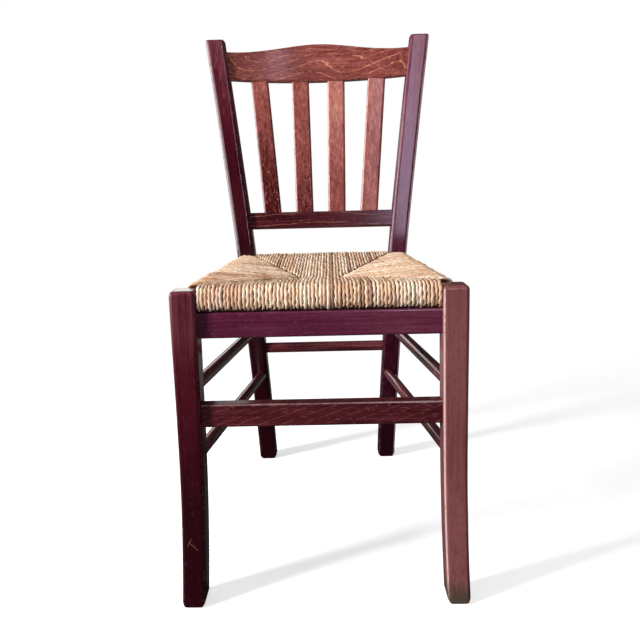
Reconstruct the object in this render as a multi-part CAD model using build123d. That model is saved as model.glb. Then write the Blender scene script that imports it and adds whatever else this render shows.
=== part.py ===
from build123d import *
from math import atan2, cos, degrees, sin, sqrt
import os

# Overall sizes of the chair, in millimetres
front_width = 415           # over the outside of the front legs
seat_depth = 396            # front face of the front legs to front face of the back posts
leg_height = 458            # top of the front legs
total_height = 882          # top of the back posts

# Front legs, straight above and curved forward below
leg_width = 37
leg_depth = 38
leg_foot_width = 33.5
leg_foot_depth = 36
leg_reach = 32.5            # how far the foot stands in front of the upper leg
leg_curve_height = 233.5    # the forward curve begins here
leg_edge = 5.5              # rounding of the long edges
leg_top_edge = 6            # rounding round the top of the leg
leg_foot_edge = 12.5        # rounding of the foot as seen from the front
leg_toe_edge = 4            # and as seen from the side

# Back posts, one piece from the floor to the top of the back
post_seat_width = 35.4
post_top_width = 37.4
post_foot_width = 36
post_seat_depth = 36
post_top_depth = 30
post_foot_depth = 30
bend_below_seat = 8         # the back leans from this far under the top of the front legs
back_lean = 60              # how far the top of a post lies behind its bend
foot_rake = 55              # how far the foot of a post lies behind its bend
foot_rake_power = 1.6       # the rake grows faster towards the floor
width_at_top = 445          # over the outside of the posts
width_at_bend = 337
width_at_floor = 293.5
post_flare = 2.4            # hollow of the outer outline between bend and top
post_leg_flare = 5          # and between floor and bend
post_edge = 7
post_top_edge = 4
post_foot_edge = 12
post_toe_edge = 5

# Crest rail, bowed backwards, with a hump in the middle of its top edge
crest_below_top = 77        # lower edge under the top of the posts, measured at their front
crest_end_depth = 55        # from lower edge to top edge beside the posts
crest_rise = 20.5           # extra height of the hump
crest_thickness = 18
crest_bow = 33
crest_setback = 2           # behind the front of the posts, at the end of the bow
crest_bite = 10             # how far the bow runs on inside the posts
crest_edge = 4

# Lower back rail
low_rail_above_seat = 50.5  # lower edge over the top of the front legs
low_rail_depth = 33
low_rail_thickness = 18
low_rail_setback = 8
low_rail_edge = 3

# Four flat slats that fan out upwards
slat_width = 35.2
slat_thickness = 11
slat_edge = 5
slat_low_pitch = 64.5       # spacing where the slats leave the lower rail
slat_top_pitch = 73         # spacing of the middle pair where they enter the crest rail
slat_fan = 6                # how much wider the outer slats are spaced there, for each step
slat_count = 4

# Room beside the long faces of an upright for the cutter that rounds its foot
foot_room = 0.4

# Front apron under the seat and front stretcher
front_setback = 8           # behind the front face of the legs
apron_depth = 37            # from the rush down
apron_thickness = 18
stretcher_height = 257.3    # lower edge
stretcher_depth = 34.3
stretcher_thickness = 21
front_bar_edge = 3.5

# Round stretchers at the sides and at the back
rod_diameter = 19.5
rod_upper_height = 310.5    # axis, at the front leg
rod_lower_height = 206
rod_drop = 5                # how much lower the axis meets the back post
rod_inset = 4               # axis towards the middle of the chair from the leg centre
rear_rod_diameter = 20.8

# Seat rails, hidden inside the rush
seat_rail_height = 22
seat_rail_width = 20        # front and rear
seat_side_rail_width = 15
seat_rail_drop = 4          # front rail below the top of the legs
seat_slope = 6              # how much lower the rear rail lies than the front rail
seat_rail_edge = 3
side_rail_in = 7            # axis inside the centre of the front leg
side_rail_out = 6           # axis outside the centre of the back post

# Rush seat
rush_over = 10              # rush above the rails
rush_under = 6              # rush below the rails
rush_front = 6              # rush in front of the front rail
rush_side = 4               # rush outside the side rails
rush_rear = 5               # rush behind the rear rail
rush_roll = 15              # radius of the rolled edge
rush_dish = 17              # how deep the four panels slope down to where they meet
rush_meet_depth = 170       # front edge of the seat to the line where the panels meet
rush_meet_width = 59        # length of that line
rush_meet_room = 15         # breadth of the flat along it

# Joints
tenon_shoulder = 6          # step above and below a flat tenon
tenon_cheek = 4.5           # step in front of and behind a flat tenon
tenon_length = 15
slat_tenon_cheek = 2.75
slat_tenon_length = 12
rod_tenon_step = 2.5        # step round a round tenon
rod_tenon_length = 11
seat_tenon_cheek = 4
seat_tenon_length = 13
glue_gap = 0.1
rush_gap = 0.3              # room between the rush and the wood beside it

# Heights that follow from the seat and from the top
seat_top = leg_height - seat_rail_drop
seat_under = seat_top - seat_rail_height - rush_under
apron_height = seat_under - rush_gap - apron_depth
post_bend_height = leg_height - bend_below_seat
low_rail_height = leg_height + low_rail_above_seat
crest_height = total_height - crest_below_top

# Heights at which the outlines of the uprights are set out
leg_heights = [leg_curve_height * step / 3 for step in range(4)]
leg_heights += [(leg_curve_height + leg_height) / 2, leg_height]
post_lean_height = total_height - post_bend_height
post_heights = [post_bend_height * step / 4 for step in range(4)]
post_heights += [post_bend_height + post_lean_height * step / 3 for step in range(4)]


def part_way(start, end, share):
    return start + (end - start) * share


def leg_faces(z):
    # Inner, outer, front and back face of the right front leg at a height
    outer = front_width / 2
    front = -leg_reach * max(0, 1 - z / leg_curve_height) ** 2
    width = part_way(leg_foot_width, leg_width, z / leg_height)
    depth = part_way(leg_foot_depth, leg_depth, z / leg_height)
    return outer - width, outer, front, front + depth


def post_faces(z):
    # Inner, outer, front and back face of the right back post at a height
    if z > post_bend_height:
        share = (z - post_bend_height) / post_lean_height
        hollow = 4 * post_flare * share * (1 - share)
        outer = (part_way(width_at_bend, width_at_top, share) - hollow) / 2
        front = seat_depth + back_lean * share
        width = part_way(post_seat_width, post_top_width, share)
        depth = part_way(post_seat_depth, post_top_depth, share)
    else:
        share = 1 - z / post_bend_height
        hollow = 4 * post_leg_flare * share * (1 - share)
        outer = (part_way(width_at_bend, width_at_floor, share) - hollow) / 2
        front = seat_depth + foot_rake * share ** foot_rake_power
        width = part_way(post_seat_width, post_foot_width, share)
        depth = part_way(post_seat_depth, post_foot_depth, share)
    return outer - width, outer, front, front + depth


def inner_face(faces, z):
    return faces(z)[0]


def middle(faces, z):
    inner, outer, front, back = faces(z)
    return (inner + outer) / 2


def between(near, far):
    # A flat shape between two smooth lines that run up the piece
    outline = [
        Spline(*near),
        Line(near[-1], far[-1]),
        Spline(*reversed(far)),
        Line(far[0], near[0]),
    ]
    return make_face(outline)


def outlines(faces, heights, grow):
    # The side outline and the front outline of an upright
    inners, outers, fronts, backs = [], [], [], []
    for z in heights:
        inner, outer, front, back = faces(z)
        inners.append((inner - grow, z))
        outers.append((outer + grow, z))
        fronts.append((front - grow, z))
        backs.append((back + grow, z))
    return between(fronts, backs), between(inners, outers)


def sawn(side, face):
    # A bar sawn to its side outline and its front outline
    sawn_side = extrude(Plane.YZ * side, front_width + width_at_top)
    sawn_face = extrude(Plane.XZ * face, total_height + seat_depth, both=True)
    return sawn_side & sawn_face


def upright(faces, heights, edge, grow=0):
    bar = sawn(*outlines(faces, heights, grow))
    long_edges = bar.edges().filter_by(lambda line: line.length > heights[-1] / 2)
    return fillet(long_edges, edge + grow)


def ends_rounded(bar, faces, heights, top_radius, foot_radius, toe_radius):
    # The foot is rounded as seen from the side and from the front, the top all round
    side, face = outlines(faces, heights, foot_room)
    side = fillet(side.vertices().sort_by(Axis.Y)[:2], toe_radius)
    face = fillet(face.vertices().sort_by(Axis.Y)[:2], foot_radius)
    bar = bar & sawn(side, face)
    return fillet(bar.faces().sort_by(Axis.Z)[-1].edges(), top_radius)


def left_of(solid):
    return mirror(solid, about=Plane.YZ)


def soft_bar(length, depth, height, edge):
    # A bar along X with its four long edges rounded
    bar = Box(length, depth, height)
    return fillet(bar.edges().filter_by(Axis.X), edge)


def roomy_box(length, depth, height):
    # The hole for a flat tenon, with the glue gap all round
    return Box(length + 2 * glue_gap, depth + 2 * glue_gap, height + 2 * glue_gap)


def rod(start, end, radius, extra):
    # A round bar between two points that runs on a little at both ends
    along = (end - start).normalized()
    place = Plane(origin=start - along * extra, z_dir=along)
    length = (end - start).length + 2 * extra
    return place * Cylinder(radius, length, align=(Align.CENTER, Align.CENTER, Align.MIN))


def round_joint(start, end, diameter):
    # Blank, tenon and mortise of a round stretcher
    tenon_radius = diameter / 2 - rod_tenon_step
    blank = rod(start, end, diameter / 2, rod_tenon_length)
    tenon = rod(start, end, tenon_radius, rod_tenon_length)
    mortise = rod(start, end, tenon_radius + glue_gap, rod_tenon_length + glue_gap)
    return blank, tenon, mortise


def shouldered(blank, tenon, holders):
    # The blank stops at the faces of its holders and the tenon goes on into them
    for holder in holders:
        blank = blank - holder
    return blank.solids().sort_by(SortBy.VOLUME)[-1] + tenon


def without(solid, cutters):
    for cutter in cutters:
        solid = solid - cutter
    return solid


# Uprights before their mortises are cut
leg_sawn = upright(leg_faces, leg_heights, leg_edge)
post_sawn = upright(post_faces, post_heights, post_edge)
leg_blank = ends_rounded(leg_sawn, leg_faces, leg_heights, leg_top_edge, leg_foot_edge, leg_toe_edge)
post_blank = ends_rounded(post_sawn, post_faces, post_heights, post_top_edge, post_foot_edge, post_toe_edge)
legs = [leg_blank, left_of(leg_blank)]
posts = [post_blank, left_of(post_blank)]
leg_cutters = []
post_cutters = []
pieces = {}


# Front apron and front stretcher, between the front legs
def front_bar(low, depth, thickness):
    z = low + depth / 2
    place = Pos(0, front_setback + thickness / 2, z)
    tenon_size = (
        2 * (inner_face(leg_faces, z) + tenon_length),
        thickness - 2 * tenon_cheek,
        depth - 2 * tenon_shoulder,
    )
    blank = place * soft_bar(2 * middle(leg_faces, z), thickness, depth, front_bar_edge)
    leg_cutters.append(place * roomy_box(*tenon_size))
    return shouldered(blank, place * Box(*tenon_size), legs)


pieces["front_apron"] = front_bar(apron_height, apron_depth, apron_thickness)
pieces["front_stretcher"] = front_bar(stretcher_height, stretcher_depth, stretcher_thickness)


# Round side stretchers, from the back of a front leg to the front of a back post
def side_rod(front_height):
    rear_height = front_height - rod_drop
    leg_back = leg_faces(front_height)[3]
    post_front = post_faces(rear_height)[2]
    start = Vector(middle(leg_faces, front_height) - rod_inset, leg_back, front_height)
    end = Vector(middle(post_faces, rear_height) - rod_inset, post_front, rear_height)
    blank, tenon, mortise = round_joint(start, end, rod_diameter)
    leg_cutters.append(mortise)
    post_cutters.append(mortise)
    return shouldered(blank, tenon, [leg_blank, post_blank])


for level, height in (("upper", rod_upper_height), ("lower", rod_lower_height)):
    right_rod = side_rod(height)
    pieces[f"side_stretcher_{level}_right"] = right_rod
    pieces[f"side_stretcher_{level}_left"] = left_of(right_rod)

# Round rear stretcher, halfway between the heights of the side stretchers
rear_rod_height = (rod_upper_height + rod_lower_height) / 2
inner, outer, front, back = post_faces(rear_rod_height)
rear_rod_y = (front + back) / 2
rear_blank, rear_tenon, rear_mortise = round_joint(
    Vector(-inner, rear_rod_y, rear_rod_height),
    Vector(inner, rear_rod_y, rear_rod_height),
    rear_rod_diameter,
)
post_cutters.append(rear_mortise)
pieces["rear_stretcher"] = shouldered(rear_blank, rear_tenon, posts)

# Leaning plane through the front of the posts: X across, Y up the back, Z to the front
lean = atan2(back_lean, post_lean_height)
back_plane = Plane(
    origin=(0, seat_depth, post_bend_height), x_dir=(1, 0, 0), z_dir=(0, -cos(lean), sin(lean))
)


def up_back(z):
    # Distance up the leaning plane to a height on it
    return (z - post_bend_height) / cos(lean)


# Lower back rail
low_rail_z = low_rail_height + low_rail_depth / 2
low_rail_up = up_back(low_rail_z)
low_rail_middle = low_rail_setback + low_rail_thickness / 2
low_rail_place = back_plane * Pos(0, low_rail_up, -low_rail_middle) * Rot(X=90)
low_tenon_size = (
    2 * (inner_face(post_faces, low_rail_z) + tenon_length),
    low_rail_thickness - 2 * tenon_cheek,
    low_rail_depth - 2 * tenon_shoulder,
)
low_blank = low_rail_place * soft_bar(
    2 * middle(post_faces, low_rail_z), low_rail_thickness, low_rail_depth, low_rail_edge
)
post_cutters.append(low_rail_place * roomy_box(*low_tenon_size))
low_rail_blank = shouldered(low_blank, low_rail_place * Box(*low_tenon_size), posts)

# Crest rail
crest_low = up_back(crest_height)
crest_end_up = crest_low + crest_end_depth
crest_top_up = crest_end_up + crest_rise
crest_half = inner_face(post_faces, crest_height + crest_end_depth) + crest_bite
crest_radius = (crest_half ** 2 + crest_bow ** 2) / (2 * crest_bow)


def crest_front(x):
    # How far the front of the crest rail lies behind the leaning plane
    return crest_setback + crest_bow - crest_radius + sqrt(crest_radius ** 2 - x ** 2)


def bowed_band(half, inset, low, high):
    # A length of the bowed rail, thinner by an inset on both faces
    place = back_plane * Pos(0, low, 0) * Rot(X=-90)
    front_line = [Vector(x, crest_front(x) + inset) for x in (-half, 0, half)]
    back_line = [Vector(x, crest_front(x) + crest_thickness - inset) for x in (half, 0, -half)]
    outline = [
        ThreePointArc(*front_line),
        Line(front_line[2], back_line[0]),
        ThreePointArc(*back_line),
        Line(back_line[2], front_line[0]),
    ]
    return extrude(place * make_face(outline), high - low)


crest_outline = [
    Spline(
        (-crest_half, crest_end_up),
        (0, crest_top_up),
        (crest_half, crest_end_up),
        tangents=[(1, 0), (1, 0)],
    ),
    Polyline(
        (crest_half, crest_end_up),
        (crest_half, crest_low),
        (-crest_half, crest_low),
        (-crest_half, crest_end_up),
    ),
]
crest_room = crest_setback + crest_bow + 2 * crest_thickness
crest_front_shape = extrude(back_plane * make_face(crest_outline), crest_room, both=True)
crest_blank = bowed_band(crest_half, 0, crest_low, crest_top_up) & crest_front_shape
crest_long_edges = crest_blank.edges().filter_by(lambda line: line.length > crest_half)
crest_blank = fillet(crest_long_edges, crest_edge)
crest_tenon_low = crest_low + tenon_shoulder
crest_tenon_high = crest_end_up - tenon_shoulder
crest_tenon_half = inner_face(post_faces, crest_height + crest_end_depth / 2) + tenon_length
crest_tenon = bowed_band(crest_tenon_half, tenon_cheek, crest_tenon_low, crest_tenon_high)
crest_mortise = bowed_band(
    crest_tenon_half + glue_gap,
    tenon_cheek - glue_gap,
    crest_tenon_low - glue_gap,
    crest_tenon_high + glue_gap,
)
post_cutters.append(crest_mortise)
crest_shouldered = shouldered(crest_blank, crest_tenon, posts)

# Slats, each a straight bar from the lower rail into the crest rail
slat_low_up = low_rail_up + low_rail_depth / 2
rail_cutters = []


def slat(step):
    low_x = step * slat_low_pitch
    top_x = step * (slat_top_pitch + slat_fan * (abs(step) - 0.5))
    top_back = crest_front(top_x) + crest_thickness / 2
    low_end = back_plane.from_local_coords(Vector(low_x, slat_low_up, -low_rail_middle))
    top_end = back_plane.from_local_coords(Vector(top_x, crest_low, -top_back))
    along = (top_end - low_end).normalized()
    across = Vector(1, 0, 0) - along * along.X
    place = Plane(origin=(low_end + top_end) * 0.5, x_dir=across, z_dir=along)
    length = (top_end - low_end).length + 2 * slat_tenon_length
    tenon_size = (slat_width - 2 * slat_tenon_cheek, slat_thickness - 2 * slat_tenon_cheek, length)
    blank = Box(slat_width, slat_thickness, length)
    blank = place * fillet(blank.edges().filter_by(Axis.Z), slat_edge)
    rail_cutters.append(place * roomy_box(*tenon_size))
    return shouldered(blank, place * Box(*tenon_size), [low_rail_blank, crest_shouldered])


for number in range(slat_count):
    pieces[f"back_slat_{number + 1}"] = slat(number - (slat_count - 1) / 2)
pieces["lower_back_rail"] = without(low_rail_blank, rail_cutters)
pieces["crest_rail"] = without(crest_shouldered, rail_cutters)

# Seat rails: front and rear tenons in the upper half, side tenons in the lower half
front_rail_z = seat_top - seat_rail_height / 2
rear_rail_z = front_rail_z - seat_slope
front_rail_y = front_setback + seat_rail_width / 2
rear_rail_y = seat_depth + post_seat_depth / 2
half_tenon = seat_rail_height / 2 - seat_rail_edge
tenon_off_middle = half_tenon / 2 + glue_gap


def cross_rail(faces, holders, cutters, y, z):
    tenon_place = Pos(0, y, z + tenon_off_middle)
    tenon_size = (
        2 * (inner_face(faces, z) + seat_tenon_length),
        seat_rail_width - 2 * seat_tenon_cheek,
        half_tenon,
    )
    blank = Pos(0, y, z) * soft_bar(
        2 * middle(faces, z), seat_rail_width, seat_rail_height, seat_rail_edge
    )
    cutters.append(tenon_place * roomy_box(*tenon_size))
    return shouldered(blank, tenon_place * Box(*tenon_size), holders)


pieces["seat_rail_front"] = cross_rail(leg_faces, legs, leg_cutters, front_rail_y, front_rail_z)
pieces["seat_rail_rear"] = cross_rail(post_faces, posts, post_cutters, rear_rail_y, rear_rail_z)

side_start = Vector(middle(leg_faces, front_rail_z) - side_rail_in, leg_depth, front_rail_z)
side_end = Vector(middle(post_faces, rear_rail_z) + side_rail_out, seat_depth, rear_rail_z)
side_along = (side_end - side_start).normalized()
side_length = (side_end - side_start).length + 2 * seat_tenon_length
side_up = Vector(1, 0, 0).cross(side_along)
side_place = Plane(origin=(side_start + side_end) * 0.5, x_dir=side_along, z_dir=side_up)
side_tenon_place = side_place * Pos(0, 0, -tenon_off_middle)
side_tenon_size = (side_length, seat_side_rail_width - 2 * seat_tenon_cheek, half_tenon)
side_blank = side_place * soft_bar(
    side_length, seat_side_rail_width, seat_rail_height, seat_rail_edge
)
side_mortise = side_tenon_place * roomy_box(*side_tenon_size)
leg_cutters.append(side_mortise)
post_cutters.append(side_mortise)
side_tenon = side_tenon_place * Box(*side_tenon_size)
side_rail = shouldered(side_blank, side_tenon, [leg_blank, post_blank])
pieces["seat_rail_right"] = side_rail
pieces["seat_rail_left"] = left_of(side_rail)

# Rush seat: a pad with rolled edges and four panels that slope down to a meeting line
rush_thick = seat_rail_height + rush_over + rush_under
rush_front_y = front_setback - rush_front
rush_rear_y = rear_rail_y + seat_rail_width / 2 + rush_rear
side_run = (side_end.X - side_start.X) / (side_end.Y - side_start.Y)


def seat_plan(front_y, rear_y, outside):
    # The outline of the seat, parallel to the side rails, as far outside their axes as asked
    front_x = side_start.X + side_run * (front_y - side_start.Y) + outside
    rear_x = side_start.X + side_run * (rear_y - side_start.Y) + outside
    return Polygon(
        (-front_x, front_y), (front_x, front_y), (rear_x, rear_y), (-rear_x, rear_y), align=None
    )


rush_plan = seat_plan(rush_front_y, rush_rear_y, seat_side_rail_width / 2 + rush_side)
rush = extrude(rush_plan, rush_thick)
rush = fillet(rush.edges().filter_by(Plane.XY), rush_roll)
rim_inset = seat_rail_width / 2 + rush_roll
rim_outside = seat_side_rail_width / 2 + rush_side - rim_inset
rim = seat_plan(rush_front_y + rim_inset, rush_rear_y - rim_inset, rim_outside)
meeting = Pos(0, rush_front_y + rush_meet_depth) * Rectangle(rush_meet_width, rush_meet_room)
dish_floor = Pos(0, 0, rush_thick - rush_dish) * meeting
rush = rush - loft([dish_floor, Pos(0, 0, rush_thick) * rim], ruled=True)
seat_tilt = degrees(atan2(seat_slope, rear_rail_y - front_rail_y))
rush = Pos(0, front_rail_y, seat_under) * Rot(X=-seat_tilt) * Pos(0, -front_rail_y, 0) * rush

# Room in the rush for the rails, and beside it for the legs and posts
tunnel_height = seat_rail_height + 2 * rush_gap
cross_tunnel = Box(front_width + width_at_bend, seat_rail_width + 2 * rush_gap, tunnel_height)
side_tunnel = side_place * Box(side_length, seat_side_rail_width + 2 * rush_gap, tunnel_height)
leg_room = upright(leg_faces, leg_heights, leg_edge, rush_gap)
leg_room_top = leg_room.faces().sort_by(Axis.Z)[-1]
leg_room = leg_room + extrude(leg_room_top, rush_over + rush_roll)
post_room = upright(post_faces, post_heights, post_edge, rush_gap)
rush_cutters = [
    Pos(0, front_rail_y, front_rail_z) * cross_tunnel,
    Pos(0, rear_rail_y, rear_rail_z) * cross_tunnel,
]
for room in (side_tunnel, leg_room, post_room):
    rush_cutters.append(room)
    rush_cutters.append(left_of(room))
rush = without(rush, rush_cutters)
pieces["rush_seat"] = rush.solids().sort_by(SortBy.VOLUME)[-1]

# Uprights with every mortise cut
leg = without(leg_blank, leg_cutters)
post = without(post_blank, post_cutters)
pieces["front_leg_right"] = leg
pieces["front_leg_left"] = left_of(leg)
pieces["back_post_right"] = post
pieces["back_post_left"] = left_of(post)

# The origin lies on the floor, under the middle of the whole chair
front_end = min(piece.bounding_box().min.Y for piece in pieces.values())
rear_end = max(piece.bounding_box().max.Y for piece in pieces.values())
os.makedirs("parts", exist_ok=True)
for name, piece in pieces.items():
    export_step(Pos(0, -(front_end + rear_end) / 2, 0) * piece, f"parts/{name}.step")
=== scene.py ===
import math
import random
import bpy
from mathutils import Matrix, Vector, noise


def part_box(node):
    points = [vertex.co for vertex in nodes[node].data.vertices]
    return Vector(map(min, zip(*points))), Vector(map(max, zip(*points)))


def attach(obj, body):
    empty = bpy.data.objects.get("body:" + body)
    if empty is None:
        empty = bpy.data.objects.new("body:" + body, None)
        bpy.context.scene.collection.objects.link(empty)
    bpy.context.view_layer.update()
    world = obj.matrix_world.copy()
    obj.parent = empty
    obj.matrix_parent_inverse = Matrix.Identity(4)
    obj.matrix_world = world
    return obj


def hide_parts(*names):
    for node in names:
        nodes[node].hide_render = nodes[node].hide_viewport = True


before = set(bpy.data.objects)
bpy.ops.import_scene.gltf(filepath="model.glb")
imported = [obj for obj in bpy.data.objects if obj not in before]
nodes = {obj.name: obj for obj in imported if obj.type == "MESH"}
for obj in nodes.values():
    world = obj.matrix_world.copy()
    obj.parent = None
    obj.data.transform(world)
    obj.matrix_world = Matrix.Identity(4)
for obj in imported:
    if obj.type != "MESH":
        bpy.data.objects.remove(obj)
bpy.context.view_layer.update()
scene = bpy.context.scene
print("chair loaded:", len(nodes), "pieces")


# Shader maths written as plain Python: a Wire is one output socket
class Wire:
    def __init__(self, owner, socket):
        self.owner = owner
        self.socket = socket

    def maths(self, operation, *others):
        return self.owner.node("ShaderNodeMath", {"operation": operation}, dict(enumerate((self, *others))))

    def turned(self, operation, other):
        return self.owner.node("ShaderNodeMath", {"operation": operation}, {0: other, 1: self})

    def __add__(self, other):
        return self.maths("ADD", other)

    def __radd__(self, other):
        return self.turned("ADD", other)

    def __sub__(self, other):
        return self.maths("SUBTRACT", other)

    def __rsub__(self, other):
        return self.turned("SUBTRACT", other)

    def __mul__(self, other):
        return self.maths("MULTIPLY", other)

    def __rmul__(self, other):
        return self.turned("MULTIPLY", other)

    def __truediv__(self, other):
        return self.maths("DIVIDE", other)

    def __rtruediv__(self, other):
        return self.turned("DIVIDE", other)

    def __pow__(self, other):
        return self.maths("POWER", other)

    def __rpow__(self, other):
        return self.turned("POWER", other)

    def __abs__(self):
        return self.maths("ABSOLUTE")

    def cut(self):
        return self.maths("FRACT")

    def most(self, other):
        return self.maths("MAXIMUM", other)

    # 0 below low, 1 above high, smooth between; low may be the larger
    def fade(self, low, high):
        return self.owner.node("ShaderNodeMapRange", {"interpolation_type": "SMOOTHSTEP"},
                               {"Value": self, "From Min": low, "From Max": high})


# A node tree, of a material or of the world
class Tree:
    def __init__(self, holder):
        holder.use_nodes = True
        self.tree = holder.node_tree

    # Any node: its settings first, then its socket values and links
    def node(self, kind, settings, sockets, output=0):
        made = self.tree.nodes.new(kind)
        for key, value in settings.items():
            setattr(made, key, value)
        for key, value in sockets.items():
            self.feed(made.inputs[key], value)
        return Wire(self, made.outputs[output])

    def feed(self, socket, value):
        if isinstance(value, Wire):
            self.tree.links.new(value.socket, socket)
        else:
            socket.default_value = value

    # share 0 shows the first shader, 1 the second
    def either(self, share, first, second):
        return self.node("ShaderNodeMixShader", {}, {0: share, 1: first, 2: second})

    def show(self, ending, shader):
        self.feed(self.tree.nodes[ending].inputs["Surface"], shader)


# One material and the nodes that paint it
class Finish(Tree):
    def __init__(self, name):
        self.material = bpy.data.materials.new(name)
        super().__init__(self.material)
        self.shader = self.tree.nodes["Principled BSDF"]
        self.place = self.node("ShaderNodeTexCoord", {}, {}, "Object")
        self.x, self.y, self.z = self.parts(self.place)

    def parts(self, vector):
        return [self.node("ShaderNodeSeparateXYZ", {}, {0: vector}, axis) for axis in "XYZ"]

    # The shader's own sockets
    def paint(self, **sockets):
        for key, value in sockets.items():
            self.feed(self.shader.inputs[key.replace("_", " ")], value)

    def stretch(self, amounts, shift=(0, 0, 0)):
        scaled = self.node("ShaderNodeVectorMath", {"operation": "MULTIPLY"},
                           {0: self.place, 1: amounts}, "Vector")
        return self.node("ShaderNodeVectorMath", {"operation": "ADD"}, {0: scaled, 1: shift}, "Vector")

    def noise(self, vector, detail, roughness=0.5):
        return self.node("ShaderNodeTexNoise", {}, {"Vector": vector, "Scale": 1.0, "Detail": detail,
                                                    "Roughness": roughness}, "Fac")

    # Colours: sockets 0, 6, 7 and output 2 are a Mix node's factor, two colours and result
    def mix(self, share, first, second):
        return self.node("ShaderNodeMix", {"data_type": "RGBA"}, {0: share, 6: first, 7: second}, 2)

    def bump(self, height, strength, distance):
        return self.node("ShaderNodeBump", {}, {"Strength": strength, "Distance": distance,
                                                "Height": height}, "Normal")


# A colour as a paint program gives it, made linear
def srgb(red, green, blue):
    def linear(value):
        share = value / 255
        return share / 12.92 if share <= 0.04045 else ((share + 0.055) / 1.055) ** 2.4
    return (linear(red), linear(green), linear(blue), 1.0)


white = (1, 1, 1, 1)

# Camera, solved from the photograph
cameraSetup = dict(place=(0.01836, -1.08589, 0.6120), yaw=-0.97, pitch=9.17, roll=-1.47,
                   sensor=36, lens=35.44, shiftX=-0.00164, shiftY=-0.06797)


def makeCamera(setup):
    yaw, pitch, roll = (math.radians(setup[key]) for key in ("yaw", "pitch", "roll"))
    ahead = Vector((math.sin(yaw) * math.cos(pitch), math.cos(yaw) * math.cos(pitch), -math.sin(pitch)))
    right = Vector((math.cos(yaw), -math.sin(yaw), 0))
    up = right.cross(ahead)
    turnedRight = right * math.cos(roll) + up * math.sin(roll)
    turnedUp = up * math.cos(roll) - right * math.sin(roll)
    data = bpy.data.cameras.new("camera")
    data.sensor_width = setup["sensor"]
    data.lens = setup["lens"]
    data.shift_x = setup["shiftX"]
    data.shift_y = setup["shiftY"]
    data.dof.use_dof = False
    camera = bpy.data.objects.new("camera", data)
    axes = Matrix((turnedRight, turnedUp, -ahead)).transposed()
    camera.matrix_world = Matrix.Translation(setup["place"]) @ axes.to_4x4()
    scene.collection.objects.link(camera)
    scene.camera = camera


makeCamera(cameraSetup)
scene.view_settings.view_transform = "Standard"
print("camera set")

# Soft studio light. Most lamps light the chair and stay out of its reflections; a gleam is seen only
# as a reflection in the lacquer, like a window in the room
lampSetup = [
    dict(name="left_key", place=(-2.5, -1.15, 1.25), size=(0.4, 0.9), power=155, tint=(1.0, 0.98, 0.98)),
    dict(name="right_screen", place=(1.4, -1.9, 1.7), size=(1.4, 1.2), power=4, tint=(1.0, 0.97, 0.96)),
    dict(name="front_screen", place=(0.5, -1.75, 0.55), size=(1.0, 0.7), power=6.0, tint=(1.0, 0.98, 0.98)),
    dict(name="top_screen", place=(0.3, -0.2, 2.6), size=(1.6, 1.6), power=11, tint=(1.0, 0.98, 0.96)),
    dict(name="left_gleam", place=(-1.9, -1.5, 0.9), size=(1.7, 1.8), power=52, tint=(1.0, 0.93, 0.95),
         gleam=True),
    dict(name="side_gleam", place=(-2.6, 0.3, 1.0), size=(2.0, 1.8), power=120, tint=(1.0, 0.96, 0.97),
         gleam=True),
    dict(name="back_gleam", place=(-0.9, 2.4, 0.92), size=(1.0, 0.5), power=3.4, tint=(1.0, 0.99, 0.96),
         gleam=True),
    dict(name="right_gleam", place=(0.45, -2.2, 1.75), size=(0.18, 2.0), power=12.5, tint=(0.84, 0.76, 1.0),
         gleam=True),
]
lampAim = (0, 0, 0.5)


def makeLamp(name, place, size, power, tint, gleam=False):
    data = bpy.data.lights.new(name, "AREA")
    data.shape = "RECTANGLE"
    data.size, data.size_y = size
    data.energy = power
    data.color = tint
    lamp = bpy.data.objects.new(name, data)
    lamp.location = place
    lamp.rotation_mode = "QUATERNION"
    lamp.rotation_quaternion = (Vector(lampAim) - Vector(place)).to_track_quat("-Z", "Y")
    lamp.visible_camera = False
    lamp.visible_diffuse = not gleam
    lamp.visible_glossy = gleam
    scene.collection.objects.link(lamp)


for lamp in lampSetup:
    makeLamp(**lamp)

# White where the camera sees it, dark in reflections, a quiet fill for the rest
worldSetup = dict(fill=0.12, mirrored=0.04, seen=1.0)


def makeWorld(setup):
    world = bpy.data.worlds.new("studio")
    air = Tree(world)
    fill, mirrored, seen = (air.node("ShaderNodeBackground", {}, {"Color": white, "Strength": setup[key]})
                            for key in ("fill", "mirrored", "seen"))
    byMirror = air.node("ShaderNodeLightPath", {}, {}, "Is Glossy Ray")
    byCamera = air.node("ShaderNodeLightPath", {}, {}, "Is Camera Ray")
    air.show("World Output", air.either(byCamera, air.either(byMirror, fill, mirrored), seen))
    scene.world = world


makeWorld(worldSetup)

# Pale floor for the camera, with the chair's shadow, running out into white from near to far.
# The chair itself gets a dim floor, which turns into a faint glow behind it, from glowStart to glowFull
floorSetup = dict(half=14.0, pale=(0.80, 0.80, 0.80, 1), rough=0.9, lift=0.60, near=0.5, far=1.5,
                  dim=(0.06, 0.055, 0.055, 1), glow=(0.2, 0.2, 0.19, 1), glowStart=0.3, glowFull=1.0)


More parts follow.
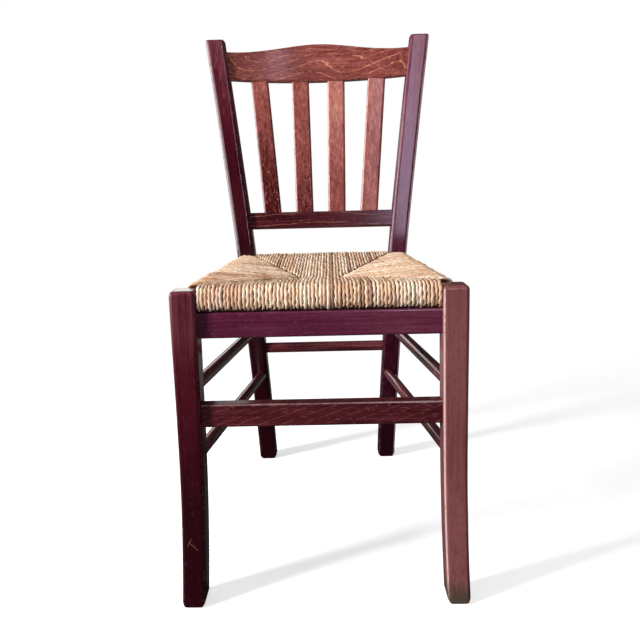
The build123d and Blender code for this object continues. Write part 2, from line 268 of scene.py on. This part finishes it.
def makeFloor(setup):
    half = setup["half"]
    corners = [(-half, -half, 0), (half, -half, 0), (half, half, 0), (-half, half, 0)]
    mesh = bpy.data.meshes.new("floor")
    mesh.from_pydata(corners, [], [(0, 1, 2, 3)])
    floor = bpy.data.objects.new("floor", mesh)
    scene.collection.objects.link(floor)
    paint = Finish("pale_floor")
    paint.paint(Base_Color=setup["pale"], Roughness=setup["rough"],
                Emission_Color=white, Emission_Strength=setup["lift"])
    pale = Wire(paint, paint.shader.outputs["BSDF"])
    bright = paint.node("ShaderNodeEmission", {}, {"Color": white, "Strength": 1.0})
    dim = paint.node("ShaderNodeBsdfDiffuse", {}, {"Color": setup["dim"]})
    glow = paint.node("ShaderNodeEmission", {}, {"Color": setup["glow"], "Strength": 1.0})
    unseen = paint.either(paint.y.fade(setup["glowStart"], setup["glowFull"]), dim, glow)
    away = (paint.x * paint.x + paint.y * paint.y) ** 0.5
    seen = paint.either(away.fade(setup["near"], setup["far"]), pale, bright)
    byCamera = paint.node("ShaderNodeLightPath", {}, {}, "Is Camera Ray")
    paint.show("Material Output", paint.either(byCamera, unseen, seen))
    mesh.materials.append(paint.material)


makeFloor(floorSetup)
print("lights and floor set")

# Stains: dark, middle and pale
plum = (srgb(36, 3, 13), srgb(90, 31, 57), srgb(126, 76, 86))
wine = (srgb(34, 2, 8), srgb(84, 29, 37), srgb(130, 78, 78))
# A darker copy of wine for the left leg and left post: partly painted shade
leftShadeClaret = (srgb(34, 1, 8), srgb(70, 12, 26), srgb(128, 74, 84))
russet = (srgb(60, 9, 13), srgb(136, 72, 66), srgb(198, 132, 116))
bareWood = srgb(210, 148, 112)
# Pale paint for edges: a painted highlight on side edges, wear on the stretcher's top edge
wearAndHighlightColour = srgb(236, 212, 210)
dirt = srgb(74, 64, 52)

# Growth lines: waves is how far they wander, across and up are lines per metre along x and z,
# kinks the number of sharp turns per metre
crestLines = dict(strength=0.8, waves=3.6, across=0, up=70, kinks=6.5)
lowLines = dict(strength=0.25, waves=3.0, across=0, up=50)
barLines = dict(strength=0.18, waves=2.5, across=-32, up=96)

# Directions of edges painted pale, as painted highlights along the sides and as wear along the top, and
# scratches: x, z, slope in degrees, half the length
leftEdge = (-1, -1, 0)
rightEdge = (1, -1, 0)
topEdge = (0, -1, 1)
frontFace = (0, -1, 0)
legScratches = ((-0.1905, 0.086, -42, 0.012), (-0.1960, 0.091, 62, 0.008))

# along is the grain axis, tone runs from the low end to the high end of the piece, grit is the strength
# of the grain, fleck of its pale flecks, then an edge painted pale (a painted highlight on side edges, wear
# on a top edge) and how pale it is, toe how dirty the foot is
# Slats: their left edges are painted pale as a highlight
slatLook = dict(along="z", stain=russet, grit=0.85, gloss=0.7, wearAndHighlight=(leftEdge, 0.45))
rodLook = dict(along="y", stain=wine, tone=(0.5, 0.5))
woodSetup = {
    # The left leg is darker than the right one, partly as painted shade
    "front_leg_left": dict(along="z", seed=1, stain=leftShadeClaret, tone=(-0.35, 0.75), grit=0.45, fleck=0.1,
                           gloss=0.75, scratches=legScratches),
    # The right leg's high, even tone is partly painted sheen; its pale left edge is painted highlight and
    # wear
    "front_leg_right": dict(along="z", seed=2, stain=wine, tone=(0.94, 0.96), grit=0.5, fleck=0.2,
                            wearAndHighlight=(leftEdge, 0.45), toe=0.95),
    # The posts darken towards the floor, partly as painted shade under the seat
    "back_post_left": dict(along="z", seed=3, stain=leftShadeClaret, tone=(-0.8, 0.74), grit=0.6, fleck=0),
    # The right post's lighter tone is partly painted sheen; its pale right edge is a painted highlight
    "back_post_right": dict(along="z", seed=4, stain=plum, tone=(-0.15, 0.80), grit=0.6, fleck=0,
                            wearAndHighlight=(rightEdge, 0.95)),
    "crest_rail": dict(along="x", seed=5, stain=russet, tone=(0.33, 0.37), grit=0.8, gloss=0.4,
                       figure=crestLines),
    "lower_back_rail": dict(along="x", seed=6, stain=wine, tone=(0.17, 0.24), figure=lowLines),
    "back_slat_1": dict(seed=7, tone=(-0.12, 0.46), **slatLook),
    "back_slat_2": dict(seed=8, tone=(0.12, 0.50), **slatLook),
    "back_slat_3": dict(seed=9, tone=(0.36, 0.78), **slatLook),
    "back_slat_4": dict(seed=10, tone=(0.38, 0.74), **slatLook),
    "front_apron": dict(along="x", seed=11, stain=plum, tone=(0.40, 0.62), grit=0.6),
    "front_stretcher": dict(along="x", seed=12, stain=wine, tone=(0.26, 0.38), grit=0.8, figure=barLines,
                            wearAndHighlight=(topEdge, 0.2)),
    "side_stretcher_upper_left": dict(seed=13, **rodLook),
    "side_stretcher_upper_right": dict(seed=14, **rodLook),
    "side_stretcher_lower_left": dict(seed=15, **rodLook),
    "side_stretcher_lower_right": dict(seed=16, **rodLook),
    "rear_stretcher": dict(along="x", seed=17, stain=wine, tone=(0.6, 0.6)),
}

# Noise in the wood: how fine across the grain and along it, detail, roughness
grain = dict(
    fibre=(640, 12, 3, 0.6), streak=(240, 6, 2, 0.5), spots=(340, 120, 1, 0.5), cloud=(18, 7, 3, 0.5),
    nick=(170, 170, 4, 0.7), board=(22, 3.2, 0, 0.5), jag=(75, 24, 2, 0.5), railFibre=(700, 12, 3, 0.6),
)

# What all stained pieces share. A pair is where something starts to show and where it shows in full
stainSetup = dict(
    shift=(3.7, 5.3, 2.9),                     # times the seed, so that no two pieces look alike
    lineDepth=0.9, cloudDepth=0.7, toMiddle=(-0.15, 0.62), toPale=(0.42, 1.12),
    growthBreaks=(0.32, 0.58), pores=(0.56, 0.70), poreDepth=0.4, flecks=(0.62, 0.74),
    edge=(0.93, 0.78), edgeWear=(0.42, 0.66), edgePale=0.4, chips=(0.73, 0.78), chipPale=0.5,
    faces=(0.92, 0.99), wearAndHighlightBreaks=(0.55, 1.05), scratchPale=0.2, toe=(0.042, 0.010), toeWander=0.04,
    rough=0.19, roughVaries=0.12, specular=0.3, coat=0.35, coatRough=0.14,
    nickDepth=0.5, edgeSmooth=0.8, bump=0.14, bumpDepth=0.0006,
)
growthSetup = dict(jag=0.45, fibre=0.12, kink=3, line=(0.89, 0.985))
scratchSetup = dict(width=(0.0008, 0.0002), taper=0.5)


def grainNoise(wood, kind, along, shift=(0, 0, 0)):
    across, lengthwise, detail, roughness = grain[kind]
    scale = tuple(lengthwise if axis == along else across for axis in "xyz")
    return wood.noise(wood.stretch(scale, shift), detail, roughness)


def surfaceNormal(wood):
    return wood.node("ShaderNodeNewGeometry", {}, {}, "Normal")


def edgeShare(wood):                           # 1 on rounded edges, 0 on flat faces
    across = [abs(part) for part in wood.parts(surfaceNormal(wood))]
    return across[0].most(across[1]).most(across[2]).fade(*stainSetup["edge"])


def facing(wood, direction):                   # 1 where the surface looks that way
    toward = tuple(Vector(direction).normalized())
    turned = wood.node("ShaderNodeVectorMath", {"operation": "DOT_PRODUCT"},
                       {0: surfaceNormal(wood), 1: toward}, "Value")
    return turned.fade(*stainSetup["faces"])


def growthLines(wood, along, shift, fibre, strength, waves, across, up, kinks=0):
    setup = growthSetup
    board = grainNoise(wood, "board", along, shift)
    jag = grainNoise(wood, "jag", along, shift)
    rings = board * waves + jag * setup["jag"] + wood.x * across + wood.z * up
    rings = rings + (fibre - 0.5) * setup["fibre"]
    if kinks:
        rings = rings + abs((wood.x * kinks + board).cut() - 0.5) * setup["kink"]
    return (abs(rings.cut() - 0.5) * 2).fade(*setup["line"]) * strength


# A thin pale line on a front face
def scratch(wood, x, z, slope, reach):
    turn = math.radians(slope)
    along = (wood.x - x) * math.cos(turn) + (wood.z - z) * math.sin(turn)
    across = (wood.z - z) * math.cos(turn) - (wood.x - x) * math.sin(turn)
    ends = abs(along).fade(reach, reach * scratchSetup["taper"])
    return abs(across).fade(*scratchSetup["width"]) * ends * facing(wood, frontFace)


def stainedWood(name, along, seed, stain, tone, grit=1.0, fleck=0.35, gloss=1.0, figure=None, wearAndHighlight=None,
                toe=0, scratches=()):
    setup = stainSetup
    wood = Finish(name + "_stain")
    dark, middle, pale = stain
    low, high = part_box(name)
    place = "xyz".index(along)
    shift = tuple(seed * amount for amount in setup["shift"])
    fibre, streak, spots, cloud, nick = (grainNoise(wood, kind, along, shift)
                                         for kind in ("fibre", "streak", "spots", "cloud", "nick"))
    share = ((wood.x, wood.y, wood.z)[place] - low[place]) / (high[place] - low[place])
    lines = (fibre + streak - 1) * (setup["lineDepth"] * grit) + (cloud - 0.5) * setup["cloudDepth"]
    shade = tone[0] + share * (tone[1] - tone[0]) + lines
    colour = wood.mix(shade.fade(*setup["toMiddle"]), dark, middle)
    colour = wood.mix(shade.fade(*setup["toPale"]), colour, pale)
    if figure:
        growth = growthLines(wood, along, shift, fibre, **figure)
        colour = wood.mix(growth * streak.fade(*setup["growthBreaks"]), colour, bareWood)
    colour = wood.mix(spots.fade(*setup["pores"]) * (setup["poreDepth"] * grit), colour, dark)
    colour = wood.mix((1 - spots).fade(*setup["flecks"]) * fleck, colour, pale)
    edge = edgeShare(wood)
    colour = wood.mix(edge * nick.fade(*setup["edgeWear"]) * setup["edgePale"], colour, pale)
    colour = wood.mix(nick.fade(*setup["chips"]) * setup["chipPale"], colour, bareWood)
    # An edge painted pale where it faces one way: a painted highlight on side edges, wear on a top edge
    if wearAndHighlight:
        direction, strength = wearAndHighlight
        wearAndHighlightMask = facing(wood, direction) * (nick + streak).fade(*setup["wearAndHighlightBreaks"]) * strength
        colour = wood.mix(wearAndHighlightMask, colour, wearAndHighlightColour)
    for mark in scratches:
        colour = wood.mix(scratch(wood, *mark) * setup["scratchPale"], colour, bareWood)
    if toe:
        foot = (wood.z + (streak - 0.5) * setup["toeWander"]).fade(*setup["toe"])
        colour = wood.mix(foot * toe, colour, dirt)
    rough = setup["rough"] + (cloud - 0.5) * setup["roughVaries"] + (fibre - 0.5) * setup["roughVaries"]
    relief = (fibre + nick * setup["nickDepth"]) * (1 - edge * setup["edgeSmooth"])
    wood.paint(Base_Color=colour, Roughness=rough, Specular_IOR_Level=setup["specular"] * gloss,
               Coat_Weight=setup["coat"] * gloss, Coat_Roughness=setup["coatRough"],
               Normal=wood.bump(relief, setup["bump"], setup["bumpDepth"]))
    return wood.material


def coat(node, material):
    mesh = nodes[node].data
    if mesh.materials:
        for place in range(len(mesh.materials)):
            mesh.materials[place] = material
    else:
        mesh.materials.append(material)


for node, look in woodSetup.items():
    coat(node, stainedWood(node, **look))

# Seat rails stay bare inside the rush
railSetup = dict(pale=srgb(205, 170, 122), dark=srgb(150, 110, 66), show=(0.35, 0.65),
                 rough=0.55, roughVaries=0.2, bump=0.2, bumpDepth=0.0006)
railGrain = dict(seat_rail_front="x", seat_rail_rear="x", seat_rail_left="y", seat_rail_right="y")


def bareRail(name, along, setup):
    wood = Finish(name + "_wood")
    fibre = grainNoise(wood, "railFibre", along)
    wood.paint(Base_Color=wood.mix(fibre.fade(*setup["show"]), setup["dark"], setup["pale"]),
               Roughness=setup["rough"] + fibre * setup["roughVaries"],
               Normal=wood.bump(fibre, setup["bump"], setup["bumpDepth"]))
    return wood.material


for node, along in railGrain.items():
    coat(node, bareRail(node, along, railSetup))
print("wood stained")

# Rush seat: real twisted strands in four fields. Millimetres, y from the front of the legs
metre = 1000
rush = dict(
    seed=41, rowOffset=238.05,
    pitch=5.3, radius=2.7, lobe=0.2, twist=22.0, step=2.6, sides=8,
    wobble=1.0, uneven=0.9, sideWobble=1.9, sideUneven=2.0,
    frontEdge=2.0, rearEdge=427.0, sideFront=193.5, sideRear=168.3, sideFrontY=38.0, sideRearY=396.0,
    legInner=170.5, legBack=38.0, postInner=133.0, postFront=396.0, besideWood=0.6,
    meetY=172.0, meetHalf=29.5,                # the four fields meet along a short line
    topFront=464.0, topFrontY=18.0, slope=6.0 / 388.0, thick=38.0, roll=15.0, rollSteps=6,
    dish=15.0, dishStart=8.0, dishCurve=1.25,  # the top sinks from behind the roll to the meeting line
    tuck=4.5, tuckRun=9.0, shortest=6.0,       # strands dive into the seam
    spotGap=6.0, fewestSpots=3, fewestSteps=4,
)
chance = random.Random(rush["seed"])


def topHeight(y):
    return rush["topFront"] - rush["slope"] * (y - rush["topFrontY"])


def sideEdge(y):
    run = (rush["sideRear"] - rush["sideFront"]) / (rush["sideRearY"] - rush["sideFrontY"])
    return rush["sideFront"] + run * (y - rush["sideFrontY"])


# How far a point is down the slope of its panel, 0 at the roll and 1 at the meeting line
def panelShare(x, y):
    rim = rush["roll"] + rush["dishStart"]
    front = (y - rush["frontEdge"] - rim) / (rush["meetY"] - rush["frontEdge"] - rim)
    rear = (rush["rearEdge"] - rim - y) / (rush["rearEdge"] - rim - rush["meetY"])
    side = (sideEdge(y) - rim - abs(x)) / (sideEdge(y) - rim - rush["meetHalf"])
    return max(0.0, min(front, rear, side, 1.0))


def seatHeight(x, y):
    return topHeight(y) - rush["dish"] * panelShare(x, y) ** rush["dishCurve"]


def underHeight(y):
    return topHeight(y) - rush["thick"]


def partWay(start, end, share):
    return start + (end - start) * share


def seamFrontY(x):                             # where the front field ends
    share = (rush["legInner"] - abs(x)) / (rush["legInner"] - rush["meetHalf"])
    return partWay(rush["legBack"], rush["meetY"], share)


def seamRearY(x):                              # where the rear field ends
    share = (rush["postInner"] - abs(x)) / (rush["postInner"] - rush["meetHalf"])
    return partWay(rush["postFront"], rush["meetY"], share)


def seamSideX(y):                              # where a side field ends
    if y < rush["meetY"]:
        share = (y - rush["legBack"]) / (rush["meetY"] - rush["legBack"])
        return partWay(rush["legInner"], rush["meetHalf"], share)
    share = (y - rush["meetY"]) / (rush["postFront"] - rush["meetY"])
    return partWay(rush["meetHalf"], rush["postInner"], share)


# A strand over one edge: along the top from its seam, round the roll and back under the seat.
# plan(inside) gives the plan point at a distance inside the edge; far is where the seam lies
def edgeStrand(plan, far, tucked=True):
    radius = rush["radius"]
    bend = rush["roll"]
    spots = max(rush["fewestSpots"], int((far - bend) / rush["spotGap"]))
    top, under, roll = [], [], []
    for k in range(spots + 1):
        inside = partWay(far, bend, k / spots)
        dip = rush["tuck"] * max(0.0, 1 - (far - inside) / rush["tuckRun"]) ** 2 * tucked
        x, y = plan(inside)
        top.append(Vector((x, y, seatHeight(x, y) - radius - dip)))
        under.append(Vector((x, y, underHeight(y) + radius + dip)))
    half = rush["thick"] / 2
    middle = topHeight(plan(bend)[1]) - half
    steps = rush["rollSteps"]
    for level in (1, -1):
        for k in range(1, steps + 1):
            turn = math.pi / (2 * steps) * (k if level > 0 else steps + 1 - k)
            x, y = plan(bend - (bend - radius) * math.sin(turn))
            roll.append(Vector((x, y, middle + level * (half - bend + (bend - radius) * math.cos(turn)))))
    return top + roll + under[::-1]


# The same path with its points about a step apart
def evenly(path, step):
    lengths = [0.0]
    for a, b in zip(path, path[1:]):
        lengths.append(lengths[-1] + (b - a).length)
    count = max(rush["fewestSteps"], round(lengths[-1] / step))
    points = []
    place = 0
    for k in range(count + 1):
        want = lengths[-1] * k / count
        while place < len(path) - 2 and lengths[place + 1] < want:
            place += 1
        span = lengths[place + 1] - lengths[place]
        points.append(path[place].lerp(path[place + 1], (want - lengths[place]) / span if span else 0))
    return points


# How strands differ from each other and along their length; a lane keeps two noises apart
strand = dict(girth=(0.90, 1.08), twist=(0.75, 1.35), drift=90, swayRun=17,
              swell=0.14, swellRun=8, swellLane=5, liftRun=30, liftLane=9, sunk=0.35)
verts, faces, tones = [], [], []


# A tube of two twisted plies along a path. across is a side direction that the path never follows,
# outer is 1 where across x path points out of the seat and -1 where it points in
def addStrand(path, across, outer, wobble, uneven):
    points = evenly(path, rush["step"])
    first = len(verts)
    sides = rush["sides"]
    girth = rush["radius"] * chance.uniform(*strand["girth"])
    turn = chance.uniform(0, math.tau)
    pitch = rush["twist"] * chance.uniform(*strand["twist"])
    tone = chance.random()
    drift = Vector((chance.uniform(0, strand["drift"]), chance.uniform(0, strand["drift"]), 0))
    for k, point in enumerate(points):
        ahead = (points[min(k + 1, len(points) - 1)] - points[max(k - 1, 0)]).normalized()
        run = k * rush["step"]
        side = (across - ahead * across.dot(ahead)).normalized()
        out = side.cross(ahead) * outer
        angle = turn + run / pitch * math.tau
        sway = noise.noise(drift + Vector((0, 0, run / strand["swayRun"]))) * wobble
        swelling = noise.noise(drift + Vector((strand["swellLane"], 0, run / strand["swellRun"])))
        rise = noise.noise(drift + Vector((strand["liftLane"], 0, run / strand["liftRun"])))
        swell = 1 + strand["swell"] * swelling
        lift = (rise - strand["sunk"]) * uneven
        for j in range(sides):
            theta = math.tau * j / sides
            size = girth * swell * (1 + rush["lobe"] * math.cos(2 * (theta - angle)))
            aside = side * (sway + size * math.cos(theta))
            verts.append(point + aside + out * (lift + size * math.sin(theta)))
            lap = (theta - angle) / math.tau % 1.0
            # the last value, how far round towards the outside, places the painted shade in the grooves
            tones.append((tone, run / metre, lap, math.sin(theta) * 0.5 + 0.5))
        if k:
            base = first + (k - 1) * sides
            for j in range(sides):
                n = (j + 1) % sides
                quad = (base + j, base + n, base + sides + n, base + sides + j)
                faces.append(quad if outer < 0 else quad[::-1])
    last = first + (len(points) - 1) * sides
    faces.append(tuple(first + j for j in range(sides)))
    faces.append(tuple(last + j for j in range(sides)))


# Strand centres spread evenly over a width
def spread(half):
    count = round(2 * half / rush["pitch"])
    return [half * (2 * k + 1 - count) / count for k in range(count)]


def weaveAcross():                             # strands that run from front to rear
    wide = Vector((1, 0, 0))
    loose = (rush["wobble"], rush["uneven"])
    for x in spread(rush["legInner"] - rush["besideWood"]):
        frontFar = min(seamFrontY(x), rush["meetY"]) - rush["frontEdge"]
        rearFar = rush["rearEdge"] - max(seamRearY(x), rush["meetY"])
        bridge = abs(x) <= rush["meetHalf"]
        front = edgeStrand(lambda inside: (x, rush["frontEdge"] + inside), frontFar, not bridge)
        rear = edgeStrand(lambda inside: (x, rush["rearEdge"] - inside), rearFar, not bridge)
        if bridge:
            addStrand(front[::-1] + rear[1:], wide, 1, *loose)
        else:
            addStrand(front, wide, -1, *loose)
            if abs(x) < rush["postInner"] - rush["radius"]:
                addStrand(rear, wide, 1, *loose)


def weaveSides():                              # strands that run from a side to its seam
    deep = Vector((0, 1, 0))
    loose = (rush["sideWobble"], rush["sideUneven"])
    half = (rush["postFront"] - rush["legBack"]) / 2
    for step in spread(half - rush["besideWood"]):
        y = rush["legBack"] + half + step
        far = max(sideEdge(y) - seamSideX(y), rush["roll"] + rush["shortest"])
        addStrand(edgeStrand(lambda inside: (inside - sideEdge(y), y), far), deep, 1, *loose)
        addStrand(edgeStrand(lambda inside: (sideEdge(y) - inside, y), far), deep, -1, *loose)


weaveAcross()
weaveSides()
strandFaces = len(faces)
print("rush woven:", len(verts), "vertices")

# Packed straw under the weave, so that no light shows between the strands; it is painted dark as shade in
# the gaps
core = dict(inset=3.2, under=2.6, frontUnder=-0.1, across=30, rows=10, pastWood=2, besideWood=1,
            frontCrowd=2, tone=(0.5, 0, 0, 0))


def addStuffing():
    inset = core["inset"]
    wide = core["across"]
    bend = rush["roll"] - inset
    legLine = rush["legBack"] + core["pastWood"]
    postLine = rush["postFront"] - core["pastWood"]
    zones = [                                  # start, end, half width, how far rows crowd to the start
        (rush["frontEdge"] + inset, legLine, lambda y: rush["legInner"] - core["besideWood"],
         core["frontCrowd"]),
        (legLine, postLine, lambda y: sideEdge(y) - inset, 1),
        (postLine, rush["rearEdge"] - inset, lambda y: rush["postInner"] - core["besideWood"], 1),
    ]
    rows = []
    for start, end, halfWidth, crowd in zones:
        for j in range(core["rows"] + 1):
            y = partWay(start, end, (j / core["rows"]) ** crowd)
            rows.append((y, halfWidth(y)))
    first = len(verts)
    for level in (1, -1):
        for y, half in rows:
            middle = topHeight(y) - rush["thick"] / 2
            for i in range(wide + 1):
                x = half * math.sin(math.pi * (i / wide - 0.5))
                rim = min(y - rush["frontEdge"], rush["rearEdge"] - y, sideEdge(y) - abs(x)) - inset
                fall = bend - math.sqrt(bend ** 2 - (bend - min(max(rim, 0), bend)) ** 2)
                reach = seatHeight(x, y) - middle - inset
                if level < 0:
                    reach = rush["thick"] / 2 - core["frontUnder" if y < rush["legBack"] else "under"]
                verts.append(Vector((x, y, middle + level * (reach - fall))))
                tones.append(core["tone"])
    stride = wide + 1
    under = stride * len(rows)

    def wall(a, b):
        faces.append((first + a, first + b, first + b + under, first + a + under))

    for j in range(len(rows) - 1):
        wall(j * stride, (j + 1) * stride)
        wall((j + 2) * stride - 1, (j + 1) * stride - 1)
        for i in range(wide):
            a = first + j * stride + i
            b = a + under
            faces.append((a, a + 1, a + stride + 1, a + stride))
            faces.append((b, b + stride, b + stride + 1, b + 1))
    for i in range(wide):
        wall(i + 1, i)
        wall(under - stride + i, under - stride + i + 1)


addStuffing()
rushMesh = bpy.data.meshes.new("rush_weave")
rushPoints = [(v.x / metre, (v.y - rush["rowOffset"]) / metre, v.z / metre) for v in verts]
rushMesh.from_pydata(rushPoints, [], faces)
layer = rushMesh.color_attributes.new("strand", "FLOAT_COLOR", "POINT")
layer.data.foreach_set("color", [value for tone in tones for value in tone])
for place, face in enumerate(rushMesh.polygons):
    face.use_smooth = True
    face.material_index = int(place >= strandFaces)
rushWeave = bpy.data.objects.new("rush_weave", rushMesh)
scene.collection.objects.link(rushWeave)

# Straw: colours, then where each one shows and how strongly
straw = dict(
    pale=srgb(240, 216, 191), tan=srgb(220, 182, 149), gold=srgb(196, 146, 84), brown=srgb(112, 70, 44),
    rose=srgb(222, 180, 160), rust=srgb(178, 122, 92), deep=srgb(98, 62, 42),
    paleShow=(0.1, 0.9), oldShow=(0.10, 0.04), oldShare=0.6, goldShow=(0.52, 0.74), goldShare=0.7,
    roseShow=(0.55, 0.75), roseShare=0.6, rustShow=(0.48, 0.72), rustShare=0.45,
    fibreShow=(0.56, 0.74), fibreShare=0.8, grooveShadeShow=(0.86, 0.50), grooveShadeShare=0.9,
    fibre=(60, 9, 400), patch=(14, 1.5, 900),  # how fine along a strand, round it and between strands
    stain=(16, 16, 16), rough=0.62, roughVaries=0.2, bump=0.5, bumpDepth=0.0008,
)


def strawFinish(setup):
    paint = Finish("straw")
    info = paint.node("ShaderNodeAttribute", {"attribute_name": "strand"}, {}, "Color")
    outward = paint.node("ShaderNodeAttribute", {"attribute_name": "strand"}, {}, "Alpha")
    tone, run, lap = (paint.node("ShaderNodeSeparateColor", {}, {0: info}, part)
                      for part in ("Red", "Green", "Blue"))

    def alongStrand(scale, detail, roughness=0.5):
        along, around, between = scale
        spot = paint.node("ShaderNodeCombineXYZ", {},
                          {"X": run * along, "Y": lap * around, "Z": tone * between})
        return paint.noise(spot, detail, roughness)

    fibre = alongStrand(setup["fibre"], 3, 0.6)
    patch = alongStrand(setup["patch"], 2)
    stain = paint.noise(paint.stretch(setup["stain"]), 3)
    colour = paint.mix(tone.fade(*setup["paleShow"]), setup["tan"], setup["pale"])
    colour = paint.mix(tone.fade(*setup["oldShow"]) * setup["oldShare"], colour, setup["brown"])
    colour = paint.mix(patch.fade(*setup["goldShow"]) * setup["goldShare"], colour, setup["gold"])
    colour = paint.mix((1 - patch).fade(*setup["roseShow"]) * setup["roseShare"], colour, setup["rose"])
    colour = paint.mix(stain.fade(*setup["rustShow"]) * setup["rustShare"], colour, setup["rust"])
    colour = paint.mix(fibre.fade(*setup["fibreShow"]) * setup["fibreShare"], colour, setup["brown"])
    # Painted shade: the inner half of each strand, down between its neighbours, turns deep brown
    colour = paint.mix(outward.fade(*setup["grooveShadeShow"]) * setup["grooveShadeShare"], colour, setup["deep"])
    paint.paint(Base_Color=colour, Roughness=setup["rough"] + fibre * setup["roughVaries"],
                Normal=paint.bump(fibre, setup["bump"], setup["bumpDepth"]))
    return paint.material


# The packing's dark colour is painted shade between the strands
packingShade = dict(dark=srgb(30, 16, 10), chaff=(300, 300, 300), show=(0.35, 0.7), rough=0.9)


def packingShadeFinish(setup):
    paint = Finish("packed_straw_shade")
    chaff = paint.noise(paint.stretch(setup["chaff"]), 3)
    paint.paint(Base_Color=paint.mix(chaff.fade(*setup["show"]), setup["dark"], straw["brown"]),
                Roughness=setup["rough"])
    return paint.material


rushMesh.materials.append(strawFinish(straw))
rushMesh.materials.append(packingShadeFinish(packingShade))
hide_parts("rush_seat")
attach(rushWeave, "root")
print("rush in place")
